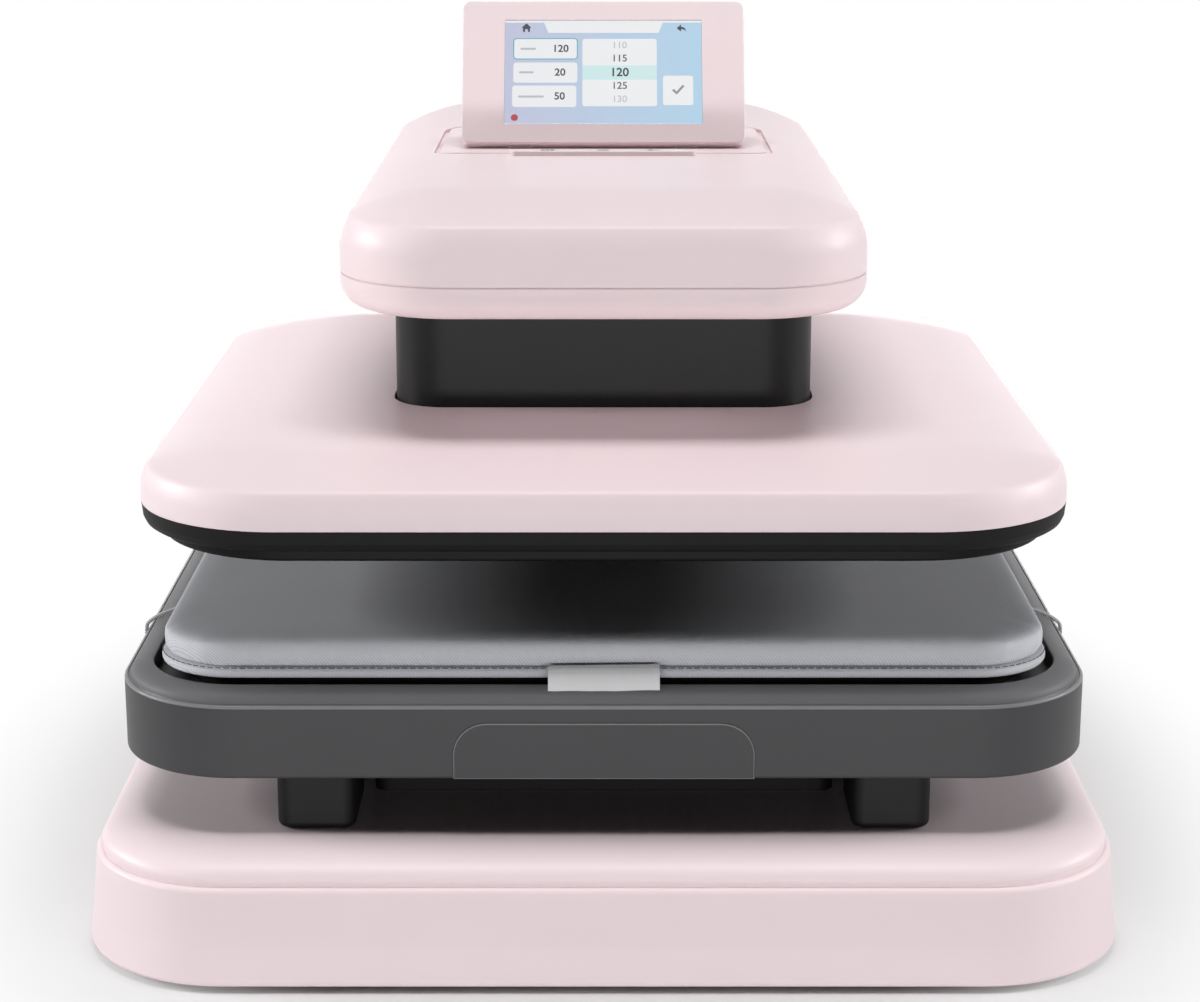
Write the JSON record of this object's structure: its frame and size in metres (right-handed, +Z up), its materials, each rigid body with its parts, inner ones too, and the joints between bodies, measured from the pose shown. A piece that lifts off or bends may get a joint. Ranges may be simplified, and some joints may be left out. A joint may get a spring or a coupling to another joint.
{
  "type": "drawer heat press",
  "caption": "Motor-driven flat heat press with a pull-out pad drawer, a lifting heated platen on a rear column and a tilting touch screen on top.",
  "frame": {"origin": "middle of the base's footprint, on the surface under the rubber feet", "axes": "+X to the user's right, +Y to the back, +Z up; the drawer pulls out along -Y"},
  "size_m": [0.442, 0.548, 0.3791],
  "materials": {
    "pink_shell": "satin, pale pink",
    "grey_shell": "fine grained, dark grey",
    "black_plastic": "fine grained, black",
    "white_plastic": "smooth, white",
    "dark_sheet": "powder coated, black",
    "frame_steel": "painted, dark grey",
    "bright_steel": "ground",
    "brass": "turned",
    "pulley_aluminium": "machined",
    "coated_aluminium": "non-stick coating, black",
    "black_rubber": "matte",
    "pad_cloth": "twill, light grey",
    "elastic_cloth": "braided elastic, pale grey",
    "tag_cloth": "woven tape, white",
    "fibre_board": "pressed mineral fibre",
    "bakelite": "matte",
    "circuit_board": "solder resist, green",
    "display": "lit screen",
    "touch_glass": "clear"
  },
  "bodies": {
    "base": {"base_cover": "pink_shell", "base_plate": "dark_sheet", "rubber_feet": "black_rubber", "base_screws": "bright_steel", "chassis_frame": "frame_steel", "column_frame": "frame_steel", "arm_frame": "frame_steel", "bush_plate": "frame_steel", "guide_bushes": "brass", "bearing_block": "frame_steel", "thrust_bearing": "bright_steel", "timing_belt": "black_rubber", "gear_motor": "frame_steel", "column_cover": "pink_shell", "rear_panel": "dark_sheet", "power_inlet": "black_plastic", "switch_body": "black_plastic", "fan_housing": "black_plastic", "power_supply": "frame_steel", "control_board": "circuit_board", "head_lower_cover": "pink_shell", "head_upper_cover": "pink_shell", "key_strip": "white_plastic", "hinge_lugs": "black_plastic", "drawer_housing": "black_plastic", "outer_runners": "bright_steel"},
    "drawer": {"tray_shell": "grey_shell", "tray_handle": "grey_shell", "tray_base": "dark_sheet", "lower_platen": "pulley_aluminium", "heat_pad": "pad_cloth", "pad_tag": "tag_cloth", "pad_elastics": "elastic_cloth", "elastic_pegs": "bright_steel", "slide_blocks": "grey_shell", "inner_runners": "bright_steel"},
    "drawer_middle": {"middle_runners": "bright_steel"},
    "press_head": {"neck_sleeve": "grey_shell", "platen_cover": "pink_shell", "platen_frame": "black_plastic", "heat_plate": "coated_aluminium", "heating_element": "bright_steel", "insulation_board": "fibre_board", "thermostat": "bakelite", "carriage_plate": "frame_steel", "standoffs": "bright_steel", "nut_tower": "frame_steel", "lead_nut": "brass", "guide_rods": "bright_steel"},
    "screw": {"lead_screw": "bright_steel", "screw_pulley": "pulley_aluminium"},
    "motor": {"motor_shaft": "bright_steel", "motor_pulley": "pulley_aluminium"},
    "screen": {"screen_bezel": "pink_shell", "screen_back": "pink_shell", "lcd_panel": "display", "touch_glass": "touch_glass", "hinge_pins": "bright_steel"},
    "rocker": {"switch_rocker": "black_plastic"},
    "fan": {"fan_rotor": "black_plastic"}
  },
  "joints": [
    {"name": "drawer_slide", "type": "slide", "parent": "base", "child": "drawer", "axis": [0, -1, 0], "range_m": [0, 0.22]},
    {"name": "middle_slide", "type": "slide", "parent": "base", "child": "drawer_middle", "axis": [0, -1, 0], "range_m": [0, 0.11]},
    {"name": "press_slide", "type": "slide", "parent": "base", "child": "press_head", "axis": [0, 0, -1], "range_m": [0, 0.0334]},
    {"name": "screw_spin", "type": "hinge", "parent": "base", "child": "screw", "pos_m": [0, -0.034, 0.25], "axis": [0, 0, 1], "range_deg": [0, 3008]},
    {"name": "motor_spin", "type": "hinge", "parent": "base", "child": "motor", "pos_m": [0, 0.208, 0.29], "axis": [0, 0, 1], "range_deg": [0, 5014]},
    {"name": "screen_tilt", "type": "hinge", "parent": "base", "child": "screen", "pos_m": [0, 0.002, 0.31755], "axis": [-1, 0, 0], "range_deg": [0, 60]},
    {"name": "power_switch", "type": "hinge", "parent": "base", "child": "rocker", "pos_m": [0.04, 0.246, 0.098], "axis": [1, 0, 0], "range_deg": [0, 16]},
    {"name": "fan_spin", "type": "hinge", "parent": "base", "child": "fan", "pos_m": [0, 0.243, 0.195], "axis": [0, 1, 0], "continuous": true}
  ],
  "couplings": [
    {"joint": "middle_slide", "follows": "drawer_slide", "ratio": 0.5},
    {"joint": "screw_spin", "follows": "press_slide", "rad_per_m": 1570.8},
    {"joint": "motor_spin", "follows": "press_slide", "rad_per_m": 2618}
  ]
}
